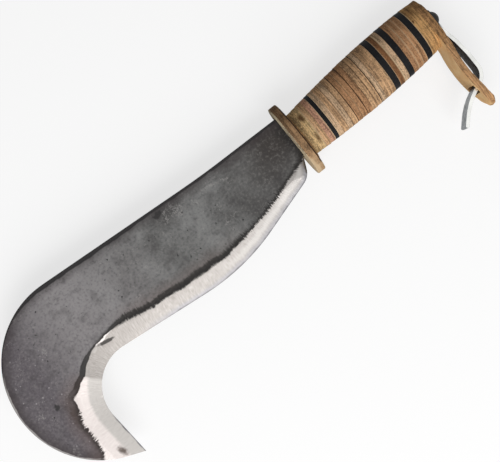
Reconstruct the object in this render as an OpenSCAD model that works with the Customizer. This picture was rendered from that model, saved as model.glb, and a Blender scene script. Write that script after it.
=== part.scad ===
// Billhook with a stacked leather grip, a leather guard and a steel belt hook.
// X runs along the tang from the blade to the butt, Y from the cutting edge to the spine,
// and Z stands out of the blade's cheek. The origin is the middle of the guard's front face.
// Sizes are in millimetres and angles in degrees.

/* [Blade] */
// Thickness of the blade
blade_t = 4.5; // [3.5:0.1:7]
// Thickness left at the cutting edge
edge_t = 0.4; // [0.2:0.1:1]
// Height of the spine over the tang line, at the guard
spine_y = 19.2; // [16:0.1:24]
// Distance from the guard to the bend where the spine starts to rise
rise_x = 60.8; // [40:0.1:90]
// Height of that bend over the tang line
rise_y = 23.7; // [21:0.1:28]
// Radius of that bend
rise_r = 600; // [200:10:800]
// Distance from the guard to the crown's corner, before it is rounded
crown_x = 240; // [220:0.5:260]
// Height of the crown's corner over the tang line
crown_y = 46.5; // [42:0.5:54]
// Radius of the crown
crown_r = 63; // [40:1:66]
// Distance from the guard to the back's corner, before it is rounded
back_x = 266.5; // [255:0.5:285]
// Depth of the back's corner under the tang line
back_y = 59; // [50:0.5:66]
// Radius of the back
back_r = 66; // [40:1:70]
// Distance from the guard to the beak's point
beak_x = 207.5; // [204:0.5:215]
// Depth of the beak's point under the tang line
beak_y = 87.5; // [84:0.5:100]
// Distance from the guard to the throat's corner, before it is rounded
throat_x = 208.5; // [200:0.5:215]
// Depth of the throat's corner under the tang line
throat_y = 20.2; // [16:0.1:26]
// Radius of the throat
throat_r = 30; // [15:1:38]
// Distance from the guard to the belly's corner, before it is rounded
belly_x = 79; // [60:1:110]
// Depth of the belly's corner under the tang line
belly_y = 41.3; // [36:0.1:48]
// Radius of the belly
belly_r = 150; // [60:5:180]
// Distance from the guard to the heel's corner, before it is rounded
heel_x = 7.6; // [5:0.1:14]
// Depth of the heel's corner under the tang line
heel_y = 23.8; // [20:0.1:30]
// Radius of the heel
heel_r = 12; // [9:0.5:16]
// Depth of the heel's end under the tang line, at the guard
root_y = 10.2; // [9:0.1:13]
// Width of the bevel at the beak
beak_bevel = 18; // [12:0.5:22]
// Width of the bevel in the throat
throat_bevel = 13; // [8:0.5:16]
// Width of the bevel along the belly
belly_bevel = 11.5; // [7:0.5:15]
// Width of the bevel at the heel
heel_bevel = 7.5; // [5:0.5:8]
// Width of the bevel where the heel runs into the guard
root_bevel = 0.6; // [0.4:0.1:3]

/* [Tang] */
// Height of the tang at the guard
tang_root_h = 15; // [10:0.5:18]
// Height of the tang at its rear end
tang_end_h = 8; // [6:0.5:10]
// Step from the blade's cheek down to the tang, on each side
tang_step = 0.45; // [0.2:0.05:0.8]
// Room between the tang's end and the end washer
tang_end_gap = 0.6; // [0.4:0.1:1.5]
// Diameter of the round neck that passes the end washer and the hook
neck_d = 5; // [4:0.1:6]
// Diameter of the peened head
head_d = 11; // [8:0.1:12]
// Height of the peened head
head_h = 4.4; // [1.5:0.1:4.5]

/* [Guard and grip] */
// Tilt of the guard and of every washer from square to the tang
lean = 2.6; // [0:0.1:5]
// Thickness of the guard
guard_t = 6; // [4:0.1:9]
// Height of the guard
guard_h = 53.5; // [46:0.5:62]
// Depth of the guard, across the blade
guard_d = 36; // [32:0.5:44]
// Width of the chamfer round the guard's rim
guard_rim = 0.5; // [0.2:0.1:1.9]
// Thickness of the collar washer
collar_t = 1.2; // [0.6:0.1:2.5]
// Height of the collar washer
collar_h = 36; // [34:0.5:42]
// How far the collar washer sits towards the cutting edge
collar_drop = 1.3; // [0:0.1:2]
// Thickness of a leather washer
washer_t = 4; // [2.5:0.1:6]
// Thickness of the first black spacer
front_spacer_t = 2.8; // [1.5:0.1:5]
// Thickness of the other black spacers
rear_spacer_t = 4.4; // [2:0.1:6]
// Thickness of the strap that makes the end washer and the tongue
strap_t = 4.4; // [3:0.1:5]
// Height of the grip at its front
grip_front_h = 32; // [28:0.5:34]
// Height of the grip where it swells most
grip_swell_h = 39; // [35:0.5:44]
// Height of the grip at its rear
grip_rear_h = 34.6; // [31:0.5:38]
// Distance from the guard's front face to the swell
grip_swell_x = 77; // [60:1:90]
// Depth of the grip as a share of its height
grip_flat = 0.72; // [0.65:0.01:0.85]
// Room between the tang and the holes of the washers
tang_clear = 0.3; // [0.1:0.05:0.6]

/* [Belt hook] */
// Thickness of the hook's steel strip
hook_t = 2.5; // [2:0.1:3.5]
// Width of the hook's steel strip
hook_w = 16; // [11:0.5:17]
// Length of the strip over the tang line, to its round end
hook_back = 7.5; // [5.5:0.5:10]
// Length of the strip from the tang to its first bend
hook_seat = 7; // [6:0.5:9]
// Radius of the bend that lifts the strip off the grip
lift_r = 15; // [10:1:25]
// Angle of the bend that lifts the strip off the grip
lift_angle = 14; // [11:0.5:20]
// Radius of the bowed run
bow_r = 110; // [100:1:125]
// Angle of the bowed run
bow_angle = 17; // [15:0.5:20]
// Radius of the main bend
turn_r = 11; // [8:0.5:15]
// Angle of the main bend
turn_angle = 68; // [58:1:78]
// Radius of the leg's outward curve
leg_r = 46; // [35:1:60]
// Angle of the leg's outward curve
leg_angle = 28; // [15:1:32]
// Straight length at the end of the leg
leg_end = 7; // [5:0.5:14]
// Room between the neck and the holes that it passes
neck_clear = 0.2; // [0.1:0.05:0.5]

/* [Tongue] */
// Width of the strap that makes the tongue
tongue_w = 25; // [20:0.5:26]
// Distance from the grip's rim to the line where the tongue bends
fold_out = 1.5; // [1.2:0.1:3]
// Gap left at the fold, so that the tongue can turn
fold_gap = 0.3; // [0.2:0.05:0.6]
// Set of the tongue at the fold, towards the blade
fold_angle = 13.4; // [10:0.1:16]
// Radius of the tongue's curve
tongue_r = 90; // [70:1:120]
// Angle of the tongue's curve
tongue_angle = 23; // [18:0.5:27]
// Straight length behind the curve, to the tip
tongue_end = 14; // [12:0.5:20]
// Width of the round tip
tip_w = 20; // [8:0.5:22]
// Room in the slot above and below the hook's leg
slot_slack = 1.8; // [1.2:0.1:2.2]
// Room in the slot on each side of the hook's leg
slot_side = 0.7; // [0.4:0.1:1.5]

/* [Hidden] */
$fn = 128;
steel = "#6f6e70";
bright_steel = "#c9ccce";
guard_leather = "#8a6a48";
collar_leather = "#5a4230";
strap_leather = "#b08a5c";
black_fibre = "#1e1e21";
leather_tones = ["#9c7650", "#b59470", "#8b6544", "#a97f62", "#c0a284"];

// Leather washers in each group, with one black spacer between two groups
groups = [4, 12, 2, 3, 2];
// Longest chord of a rounded corner
chord = 4;
// Shortest straight between two rounded corners
corner_gap = 1;
// How far the bevel's cut reaches past the edge and over the cheek, as a share of its width
overcut = 0.12;
// Largest turn between two flats of a bent strip or of a rounded corner
bend_step = 6;
// Radius of a strip's round tip as a share of its width
tip_share = 0.9;
// How far the tang's bar reaches into the blade
tang_into = 12;
// How far a cut reaches past the piece that it cuts
past = 1;

function sum(v, i = 0) = i < len(v) ? v[i] + sum(v, i + 1) : 0;

// Places along the tang
stack_x = guard_t + collar_t;
spacer_ts = [for (g = [0:len(groups) - 2]) g == 0 ? front_spacer_t : rear_spacer_t];
group_ts = [for (n = groups) n * washer_t];
group_xs = [for (g = [0:len(groups) - 1])
    stack_x + sum([for (k = [0:1:g - 1]) group_ts[k] + spacer_ts[k]])];
washer_xs = [for (g = [0:len(groups) - 1]) for (i = [0:groups[g] - 1]) group_xs[g] + i * washer_t];
spacer_xs = [for (g = [0:len(groups) - 2]) group_xs[g] + group_ts[g]];
end_x = group_xs[len(groups) - 1] + group_ts[len(groups) - 1];
butt_x = end_x + strap_t;
tang_t = blade_t - 2 * tang_step;

washer_names = [for (i = [1:len(washer_xs)]) str("leather_washer_", i < 10 ? "0" : "", i)];
spacer_names = [for (i = [1:len(spacer_xs)]) str("black_spacer_", i)];

// Half height of the grip at a place along the tang: a barrel, fullest at the swell
function grip_r(x) =
    let (end_h = x < grip_swell_x ? grip_front_h : grip_rear_h)
    let (end_at = x < grip_swell_x ? stack_x : butt_x)
    (grip_swell_h - (grip_swell_h - end_h) * pow((x - grip_swell_x) / (end_at - grip_swell_x), 2)) / 2;

// Distance from the tang line to the fold
fold_drop = grip_r(end_x) + fold_out;

// A station of the blade's outline is [point, normal to its left, bevel width there]
function toward(a, b) = (b - a) / norm(b - a);
function left_of(v) = [-v.y, v.x];
function turned(v, a) = [v.x * cos(a) - v.y * sin(a), v.x * sin(a) + v.y * cos(a)];
function end_station(corner, along) = [corner[0], left_of(along), corner[2]];

// Length that a corner's rounding takes from each of its two straights
function corner_arm(before, corner, after) =
    corner[1] / tan(acos(toward(corner[0], before[0]) * toward(corner[0], after[0])) / 2);

// Stations round one corner, given as [point, radius, bevel width before it, bevel width after it].
// Share is the part of its radius that the straights have room for
function corner_stations(before, corner, after, share) =
    let (u = toward(corner[0], before[0]), v = toward(corner[0], after[0]))
    let (half = acos(u * v) / 2, side = -sign(cross(u, v)), r = corner[1] * share)
    let (centre = corner[0] + toward([0, 0], u + v) * r / sin(half))
    let (arm = corner[0] + u * r / tan(half) - centre, turn = 180 - 2 * half)
    let (n = max(ceil(turn / bend_step), ceil(r * turn * PI / 180 / chord)))
    [for (i = [0:n])
        let (ray = turned(arm, side * turn * i / n))
        [centre + ray, -side * ray / r, corner[2] + (corner[3] - corner[2]) * i / n]];

function chain(corners) =
    let (last = len(corners) - 1)
    let (arms = [for (k = [0:last])
        k == 0 || k == last ? 0 : corner_arm(corners[k - 1], corners[k], corners[k + 1])])
    let (shares = [for (k = [0:last - 1])
        min(1, (norm(corners[k + 1][0] - corners[k][0]) - corner_gap) / (arms[k] + arms[k + 1]))])
    concat(
        [end_station(corners[0], toward(corners[0][0], corners[1][0]))],
        [for (k = [1:last - 1])
            each corner_stations(corners[k - 1], corners[k], corners[k + 1], min(shares[k - 1], shares[k]))],
        [end_station(corners[last], toward(corners[last - 1][0], corners[last][0]))]);

beak = [-beak_x, -beak_y];
back_corners = [
    [[spine_y * tan(lean), spine_y], 0, 0],
    [[-rise_x, rise_y], rise_r, 0, 0],
    [[-crown_x, crown_y], crown_r, 0, 0],
    [[-back_x, -back_y], back_r, 0, 0],
    [beak, 0, 0]];
edge_corners = [
    [beak, 0, beak_bevel],
    [[-throat_x, -throat_y], throat_r, beak_bevel, throat_bevel],
    [[-belly_x, -belly_y], belly_r, belly_bevel, belly_bevel],
    [[-heel_x, -heel_y], heel_r, heel_bevel, root_bevel],
    [[-root_y * tan(lean), -root_y], 0, root_bevel]];
back_line = chain(back_corners);
edge_line = chain(edge_corners);

function midway(a, b) = [(a[0] + b[0]) / 2, toward([0, 0], a[1] + b[1]), (a[2] + b[2]) / 2];

// Wedge above one bevel, drawn along the cutting edge and run out past both its ends. Its stations lie
// midway between the outline's own, so that no border of its facets meets a corner of the outline
module bevel_cut() {
    drop = (blade_t - edge_t) / 2 * overcut;
    low = edge_t / 2 - drop;
    high = blade_t / 2 + drop;
    end = len(edge_line) - 1;
    ahead = toward(edge_line[1][0], beak) * beak_bevel;
    onward = toward(edge_line[end - 1][0], edge_line[end][0]) * past;
    stations = concat(
        [[beak + ahead, edge_line[0][1], beak_bevel]],
        [for (i = [0:end - 1]) midway(edge_line[i], edge_line[i + 1])],
        [[edge_line[end][0] + onward, edge_line[end][1], root_bevel]]);
    last = len(stations) - 1;
    function outer(s) = s[0] - s[1] * s[2] * overcut;
    function inner(s) = s[0] + s[1] * s[2] * (1 + overcut);
    polyhedron(
        points = [for (s = stations) each [
            [each outer(s), low],
            [each inner(s), high],
            [each outer(s), high]]],
        faces = concat(
            [[0, 1, 2], [3 * last + 2, 3 * last + 1, 3 * last]],
            [for (i = [0:last - 1]) for (k = [0:2])
                let (a = 3 * i + k, b = 3 * i + (k + 1) % 3)
                each [[a, a + 3, b + 3], [a, b + 3, b]]]));
}

module blade_plate() {
    back_points = [for (i = [0:len(back_line) - 2]) back_line[i][0]];
    edge_points = [for (s = edge_line) s[0]];
    difference() {
        linear_extrude(blade_t, center = true)
            polygon(concat(back_points, edge_points));
        bevel_cut();
        mirror([0, 0, 1]) bevel_cut();
    }
}

// Tapered bar of the tang, with room round it where it cuts a washer
module tang(room = 0) {
    rear = end_x - tang_end_gap + room;
    linear_extrude(tang_t + 2 * room, center = true)
        polygon([
            [-tang_into, tang_root_h / 2 + room],
            [rear, tang_end_h / 2 + room],
            [rear, -tang_end_h / 2 - room],
            [-tang_into, -tang_root_h / 2 - room]]);
}

// Round end of the tang, from its taper to inside the peened head
module neck(room = 0) {
    front = end_x - tang_end_gap - past;
    translate([front, 0, 0]) rotate([0, 90, 0])
        cylinder(d = neck_d + 2 * room, h = butt_x + hook_t + head_h / 2 - front);
}

// Dome that is hammered over the hook, flat side on the strip
module peened_head() {
    dome_r = (pow(head_d / 2, 2) + pow(head_h, 2)) / (2 * head_h);
    on_axis(butt_x) translate([hook_t, 0, 0]) rotate([0, 90, 0]) rotate_extrude() intersection() {
        translate([0, head_h - dome_r]) circle(dome_r);
        square(head_d);
    }
}

module blade() {
    color(steel) {
        blade_plate();
        tang();
        neck();
        peened_head();
    }
}

// Puts a piece on the tang line, square to the tilted washers
module on_axis(x) {
    translate([x, 0, 0]) rotate([0, 0, -lean]) children();
}

// Hole that lets the tang and its neck through
module tang_hole() {
    tang(tang_clear);
    neck(neck_clear);
}

// Oval slice of the grip between two places along the tang, as thick as the gap that it fills
module grip_slice(x, t) {
    on_axis(x + t / 2) rotate([0, 90, 0]) scale([grip_flat, 1, 1])
        cylinder(h = t * cos(lean), r1 = grip_r(x), r2 = grip_r(x + t), center = true);
}

module guard() {
    r = guard_h / 2;
    t = guard_t * cos(lean);
    color(guard_leather) difference() {
        on_axis(guard_t / 2) rotate([0, 90, 0]) scale([guard_d / guard_h, 1, 1])
            translate([0, 0, -t / 2]) rotate_extrude() polygon([
                [0, 0],
                [r - guard_rim, 0],
                [r, guard_rim],
                [r, t - guard_rim],
                [r - guard_rim, t],
                [0, t]]);
        tang_hole();
    }
}

module collar_washer() {
    color(collar_leather) difference() {
        on_axis(guard_t + collar_t / 2) translate([0, -collar_drop, 0]) rotate([0, 90, 0])
            scale([grip_flat, 1, 1]) cylinder(h = collar_t * cos(lean), d = collar_h, center = true);
        tang_hole();
    }
}

module leather_washer(i) {
    color(leather_tones[i % len(leather_tones)]) difference() {
        grip_slice(washer_xs[i], washer_t);
        tang_hole();
    }
}

module black_spacer(i) {
    color(black_fibre) difference() {
        grip_slice(spacer_xs[i], spacer_ts[i]);
        tang_hole();
    }
}

// Puts a piece in the middle of the strap's thickness, where it is clamped
module at_strap_middle() {
    on_axis(end_x + strap_t / 2) children();
}

// Clamped part of the strap: an oval washer that runs on down to the fold
module end_washer() {
    color(strap_leather) difference() {
        union() {
            grip_slice(end_x, strap_t);
            at_strap_middle() translate([-strap_t * cos(lean) / 2, -fold_drop, -tongue_w / 2])
                cube([strap_t * cos(lean), fold_drop, tongue_w]);
        }
        at_strap_middle() translate([0, -fold_drop, 0])
            cylinder(d = strap_t + 2 * fold_gap, h = tongue_w + 2 * past, center = true);
        tang_hole();
    }
}

// A bent strip is a list of steps: [length] is straight, and [radius, angle] turns left by its angle.
// A place on its middle line is [point, heading].
function ahead_of(heading) = [cos(heading), sin(heading)];
function bend_places(place, r, a) =
    let (side = sign(a), n = ceil(abs(a) / bend_step))
    [for (k = [0:n])
        let (heading = place[1] + a * k / n)
        [place[0] + side * r * left_of(ahead_of(place[1]) - ahead_of(heading)), heading]];
function step_places(place, step) =
    len(step) == 2 ? bend_places(place, step[0], step[1])
    : [place, [place[0] + step[0] * ahead_of(place[1]), place[1]]];
function places(steps, place, i = 0) =
    i == len(steps) ? []
    : let (walked = step_places(place, steps[i]))
    concat(walked, places(steps, walked[len(walked) - 1], i + 1));
function last_place(steps, place) =
    let (all = places(steps, place))
    all[len(all) - 1];

module strip(steps, place, t, w) {
    walked = places(steps, place);
    n = len(walked);
    linear_extrude(w, center = true) polygon(concat(
        [for (q = walked) q[0] + left_of(ahead_of(q[1])) * t / 2],
        [for (k = [1:n]) walked[n - k][0] - left_of(ahead_of(walked[n - k][1])) * t / 2]));
}

// Cuts the end of a strip to a round tip, seen from the strip's face. The strip ends at X = 0
module tip_cut(t, w) {
    r = w * tip_share;
    rotate([90, 0, 0]) linear_extrude(t + 2 * past, center = true) difference() {
        translate([-r, -w / 2 - past]) square([r + past, w + 2 * past]);
        translate([-r, 0]) circle(r);
    }
}

module at_place(place) {
    translate([each place[0], 0]) rotate([0, 0, place[1]]) children();
}

// The hook starts above the tang line and runs down the butt, so its first heading is down
hook_start = [[hook_t / 2, hook_back], -90];
hook_run = [[hook_back + hook_seat], [lift_r, lift_angle], [bow_r, -bow_angle]];
hook_leg = [[turn_r, -turn_angle], [leg_r, leg_angle], [leg_end]];
leg_start = last_place(hook_run, hook_start);
hook_end = last_place(hook_leg, leg_start);

module belt_hook() {
    color(bright_steel) difference() {
        on_axis(butt_x) difference() {
            strip(concat(hook_run, hook_leg), hook_start, hook_t, hook_w);
            at_place([hook_start[0], 90]) tip_cut(hook_t, hook_w);
            at_place(hook_end) tip_cut(hook_t, hook_w);
        }
        neck(neck_clear);
    }
}

// Free part of the strap: curved, narrowed to a round tip and slotted for the hook's leg
module tongue() {
    t = strap_t * cos(lean);
    straight_at = tongue_r * sin(tongue_angle);
    reach = straight_at + tongue_end;
    color(strap_leather) difference() {
        at_strap_middle() at_place([[0, -fold_drop], -90 - fold_angle]) intersection() {
            union() {
                cylinder(d = t, h = tongue_w, center = true);
                strip([[tongue_r, tongue_angle], [tongue_end]], [[0, 0], 0], t, tongue_w);
            }
            rotate([90, 0, 0]) linear_extrude(2 * reach, center = true) {
                translate([-tongue_w, -tongue_w]) square([straight_at + tongue_w, 2 * tongue_w]);
                polygon([
                    [straight_at - past, -tongue_w / 2],
                    [reach - tip_w / 2, -tip_w / 2],
                    [reach - tip_w / 2, tip_w / 2],
                    [straight_at - past, tongue_w / 2]]);
                translate([reach - tip_w / 2, 0]) circle(d = tip_w);
            }
        }
        on_axis(butt_x) strip(hook_leg, leg_start, hook_t + 2 * slot_slack, hook_w + 2 * slot_side);
    }
}

blade();
guard();
collar_washer();
for (i = [0:len(washer_xs) - 1]) leather_washer(i);
for (i = [0:len(spacer_xs) - 1]) black_spacer(i);
end_washer();
tongue();
belt_hook();
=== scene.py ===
import math

import bpy
import numpy as np
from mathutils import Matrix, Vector, noise


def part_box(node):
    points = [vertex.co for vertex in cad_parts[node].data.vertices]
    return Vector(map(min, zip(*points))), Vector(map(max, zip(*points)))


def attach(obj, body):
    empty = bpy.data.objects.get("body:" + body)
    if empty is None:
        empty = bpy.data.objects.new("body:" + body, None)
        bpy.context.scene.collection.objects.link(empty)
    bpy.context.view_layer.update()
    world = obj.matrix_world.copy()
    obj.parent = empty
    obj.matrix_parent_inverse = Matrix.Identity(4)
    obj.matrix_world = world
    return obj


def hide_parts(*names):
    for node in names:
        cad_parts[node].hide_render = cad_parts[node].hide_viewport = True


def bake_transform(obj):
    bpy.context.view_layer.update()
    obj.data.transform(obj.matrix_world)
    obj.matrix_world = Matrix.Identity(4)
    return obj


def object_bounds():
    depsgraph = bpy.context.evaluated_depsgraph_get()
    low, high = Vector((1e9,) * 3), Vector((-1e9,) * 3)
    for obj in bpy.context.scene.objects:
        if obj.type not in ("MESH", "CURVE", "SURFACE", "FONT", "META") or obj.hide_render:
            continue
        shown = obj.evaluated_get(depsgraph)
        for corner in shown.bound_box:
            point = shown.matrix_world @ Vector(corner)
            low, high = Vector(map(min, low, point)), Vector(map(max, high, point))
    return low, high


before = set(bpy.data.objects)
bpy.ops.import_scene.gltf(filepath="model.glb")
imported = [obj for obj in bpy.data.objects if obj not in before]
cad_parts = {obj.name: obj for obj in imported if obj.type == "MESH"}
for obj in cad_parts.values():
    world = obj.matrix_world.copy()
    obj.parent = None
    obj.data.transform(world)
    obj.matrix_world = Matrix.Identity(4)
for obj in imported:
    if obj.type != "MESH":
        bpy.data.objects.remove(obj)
cad_low, cad_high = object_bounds()

# Blade: one forging of carbon steel with its tang. The cheeks keep the dark scale of the fire, and both sides
# of the edge are ground bright on a wheel. The tang runs through the grip and is peened over the hook at the
# butt. Sizes and places are in mm.
MM = 0.001
CHEEK = 2.25
SPINE_ROUND = 0.55
BLADE_TIP, BLADE_LOW, BLADE_TOP = -256, -88, 41
BLADE_PITCH = 2.2
HAMMER_MARK = 15
HAMMER_DEPTH = 0.1
SIDES_APART = 60
GUARD_PLANE = -0.6
HEEL, HEEL_TOP, HEEL_THIN = -16, -12, 0.3
EDGE_HALF = 0.26
BEVEL_THIN = 0.5
BEAK = (-207.5, -87.5)
SPINE_START = (-1, 20)
# How far a face's normal leans out of the blade's plane, on a cheek, on a wall and at the ridge of the bevel
ON_CHEEK = 0.999
ON_WALL = 0.1
RIDGE = math.cos(math.radians(6))
# Line where the grinding stops, from the guard to the back of the beak
GRIND_LINE = [
    (3, -9), (-1, -10.5), (-5, -13.5), (-10, -14.7), (-20, -17), (-30, -20), (-40, -22.5), (-50, -24),
    (-60, -25), (-70, -26), (-82, -27.2), (-90, -26.5), (-105, -24.7), (-115, -24), (-125, -22.7),
    (-140, -20), (-150, -18), (-160, -14.5), (-170, -13), (-178, -12.8), (-184, -13.2), (-190, -14.8),
    (-195, -17), (-200, -20.2), (-205, -24), (-215, -29), (-220, -30.3),
    (-220, -35), (-226, -46), (-226.8, -62), (-228, -70), (-231, -73), (-240, -82)]
# Closes that line below the edge, to a loop round all that is ground
BELOW_EDGE = [(-240, -100), (20, -100), (20, -9)]


def copy_of(node, name):
    """A new piece on a CAD node's mesh, merged, with its flat faces whole again. It stands for the node."""
    bpy.ops.object.select_all(action="DESELECT")
    piece = bpy.data.objects.new(name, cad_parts[node].data.copy())
    bpy.context.scene.collection.objects.link(piece)
    bpy.context.view_layer.objects.active = piece
    piece.select_set(True)
    piece.data.materials.clear()
    bpy.ops.mesh.customdata_custom_splitnormals_clear()
    bpy.ops.object.mode_set(mode="EDIT")
    bpy.ops.mesh.select_all(action="SELECT")
    bpy.ops.mesh.remove_doubles(threshold=0.001 * MM)
    bpy.ops.mesh.dissolve_limited(angle_limit=math.radians(0.1))
    bpy.ops.object.mode_set(mode="OBJECT")
    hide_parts(node)
    return piece


def pick_edges(piece, wanted):
    """Selects the edges for which wanted(middle in mm, both faces' normals) holds, and goes to edit mode."""
    mesh = piece.data
    normals = {}
    for face in mesh.polygons:
        for key in face.edge_keys:
            normals.setdefault(key, []).append(face.normal)
    bpy.context.tool_settings.mesh_select_mode = (False, True, False)
    for part in (mesh.vertices, mesh.polygons):
        part.foreach_set("select", [False] * len(part))
    for edge in mesh.edges:
        a, b = (mesh.vertices[i].co for i in edge.vertices)
        sides = normals.get(edge.key, [])
        edge.select = len(sides) == 2 and wanted((a + b) / 2 / MM, *sides)
    bpy.ops.object.mode_set(mode="EDIT")


def round_edges(piece, width, segments, wanted):
    """Rounds the picked edges of a piece."""
    pick_edges(piece, wanted)
    bpy.ops.mesh.bevel(offset=width * MM, segments=segments, affect="EDGES", clamp_overlap=True)
    bpy.ops.object.mode_set(mode="OBJECT")


def slice_piece(piece, direction, places):
    """Cuts a piece's faces by planes square to a direction, which gives it points to shape and to paint."""
    bpy.context.view_layer.objects.active = piece
    bpy.ops.object.mode_set(mode="EDIT")
    for place in places:
        bpy.ops.mesh.select_all(action="SELECT")
        bpy.ops.mesh.bisect(plane_co=Vector(direction) * place * MM, plane_no=direction)
    bpy.ops.object.mode_set(mode="OBJECT")


def nearest_on(points, line):
    """For each point, its distance from a line of points, and how far along the line its nearest place is."""
    start, step = line[:-1], np.diff(line, axis=0)
    length = np.linalg.norm(step, axis=1)
    share = np.einsum("psk,sk->ps", points[:, None] - start, step) / length**2
    share = np.clip(share, 0, 1)
    away = np.linalg.norm(points[:, None] - start - share[..., None] * step, axis=2)
    best = away.argmin(axis=1)
    rows = np.arange(len(points))
    run = np.concatenate([[0], np.cumsum(length)])
    return away[rows, best], run[best] + share[rows, best] * length[best]


def inside(points, loop):
    """Which points lie inside a closed loop of points."""
    odd = np.zeros(len(points), bool)
    for (ax, ay), (bx, by) in zip(loop, loop[1:] + loop[:1]):
        if ay != by:
            spans = (ay > points[:, 1]) != (by > points[:, 1])
            odd ^= spans & (points[:, 0] < ax + (points[:, 1] - ay) * (bx - ax) / (by - ay))
    return odd


def chained(points, first):
    """Loose points of an open line in their order, from the one nearest to first."""
    left, here, line = [tuple(p) for p in points], first, []
    while left:
        here = min(left, key=lambda p: math.dist(p, here))
        left.remove(here)
        line.append(here)
    return np.array(line)


def settle(piece, angle):
    """Shades a piece smooth up to an angle in degrees, its large faces flat up to their rounded edges."""
    bpy.ops.object.shade_smooth_by_angle(angle=math.radians(angle))
    weighted = piece.modifiers.new("flat_faces", "WEIGHTED_NORMAL")
    weighted.keep_sharp = True
    bpy.ops.object.modifier_apply(modifier=weighted.name)


def give(piece, name, values):
    """Stores one number for each point of the piece, for its material to read."""
    stored = piece.data.attributes.new(name, "FLOAT", "POINT")
    stored.data.foreach_set("value", np.asarray(values, np.float32))


blade = copy_of("blade", "forged_blade")
round_edges(blade, SPINE_ROUND, 2, lambda at, a, b: (
    at.x < GUARD_PLANE and max(abs(a.z), abs(b.z)) > ON_CHEEK and min(abs(a.z), abs(b.z)) < ON_WALL))
slice_piece(blade, (1, 0, 0), np.arange(BLADE_TIP, GUARD_PLANE, BLADE_PITCH))
slice_piece(blade, (0, 1, 0), np.arange(BLADE_LOW, BLADE_TOP, BLADE_PITCH))
# The smith's hammer has left shallow dents in both cheeks
for point in blade.data.vertices:
    at = point.co / MM
    if at.x < GUARD_PLANE and abs(at.z) > BEVEL_THIN:
        side = math.copysign(1, at.z)
        dent = noise.noise(Vector((at.x, at.y, SIDES_APART * side)) / HAMMER_MARK)
        point.co.z += side * dent * HAMMER_DEPTH * (abs(at.z) / CHEEK) ** 2 * MM
# The grinding runs out smoothly round the heel
bpy.context.tool_settings.mesh_select_mode = (True, False, False)
for part in (blade.data.edges, blade.data.polygons):
    part.foreach_set("select", [False] * len(part))
for point in blade.data.vertices:
    at = point.co / MM
    point.select = HEEL < at.x < GUARD_PLANE and at.y < HEEL_TOP and abs(at.z) > HEEL_THIN
bpy.ops.object.mode_set(mode="EDIT")
bpy.ops.mesh.vertices_smooth(factor=0.5, repeat=14)
bpy.ops.object.mode_set(mode="OBJECT")
# The material reads how far a point is from the border of the grinding, above 0 where it is ground, from the
# edge and from the back, and its place along the edge from the beak, in mm. The tang counts as plain scale.
at = np.array([v.co for v in blade.data.vertices]) / MM
plate = at[:, 0] < GUARD_PLANE
keen = np.unique(at[plate & (abs(at[:, 2]) < EDGE_HALF)][:, :2].round(2), axis=0)
edge_line = chained(keen, BEAK)
edge_mm, along_mm = nearest_on(at[:, :2], edge_line)
grind_mm, _ = nearest_on(at[:, :2], np.array(GRIND_LINE, float))
ground_side = inside(at[:, :2], GRIND_LINE + BELOW_EDGE)
wall = {v for face in blade.data.polygons if abs(face.normal.z) < ON_WALL for v in face.vertices}
wall = [v for v in wall if plate[v] and edge_mm[v] > 1]
back_line = chained(np.unique(at[wall][:, :2].round(2), axis=0), SPINE_START)
rim_mm, _ = nearest_on(at[:, :2], back_line)
give(blade, "grind", np.where(plate, np.where(ground_side, grind_mm, -grind_mm), -1))
give(blade, "edge", edge_mm)
give(blade, "along", along_mm)
give(blade, "rim", np.where(plate, rim_mm, 10))
pick_edges(blade, lambda at, a, b: at.x < HEEL and (abs(a.z) > RIDGE) != (abs(b.z) > RIDGE))
bpy.ops.mesh.mark_sharp()
bpy.ops.object.mode_set(mode="OBJECT")
settle(blade, 30)


def paint(colour):
    """An sRGB hex colour as linear red, green, blue and alpha."""
    parts = [int(colour[i:i + 2], 16) / 255 for i in (1, 3, 5)]
    return [c / 12.92 if c <= 0.04045 else ((c + 0.055) / 1.055) ** 2.4 for c in parts] + [1]


def finish_named(name):
    """A new material and its shader."""
    material = bpy.data.materials.new(name)
    material.use_nodes = True
    return material, material.node_tree.nodes["Principled BSDF"]


def add(material, kind, links=None, out=0, **settings):
    """Adds a node to a material, sets its options, fills or joins its sockets, and gives back one output."""
    made = material.node_tree.nodes.new("ShaderNode" + kind)
    for option, value in settings.items():
        setattr(made, option, value)
    for socket, value in (links or {}).items():
        if isinstance(value, bpy.types.NodeSocket):
            material.node_tree.links.new(value, made.inputs[socket])
        else:
            made.inputs[socket].default_value = value
    return made.outputs[out]


def spotted(material, place, ragged, colour, dye, spots, side, deep, soft=0.4, share=0.85):
    """Lays ragged spots of a dye on a colour. A spot is its middle x and y, its half length and half height,
    in mm, and the turn of its long side in degrees. It lies at the height side and fades out at a depth deep
    under it."""
    for px, py, half_x, half_y, turn in spots:
        spot = add(material, "Mapping", {
            "Vector": place, "Location": (px * MM, py * MM, side * MM),
            "Rotation": (0, 0, math.radians(turn)),
            "Scale": (half_x * MM, half_y * MM, deep * MM)}, vector_type="TEXTURE")
        spot = add(material, "VectorMath", {0: spot}, out="Value", operation="LENGTH")
        spot = add(material, "Math", {0: ragged, 1: 1.2, 2: spot}, operation="MULTIPLY_ADD")
        spot = add(material, "MapRange", {0: spot, 1: 1.75, 2: 1.75 - soft, 4: share})
        colour = add(material, "Mix", {0: spot, 6: colour, 7: paint(dye)}, out=2, data_type="RGBA")
    return colour


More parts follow.
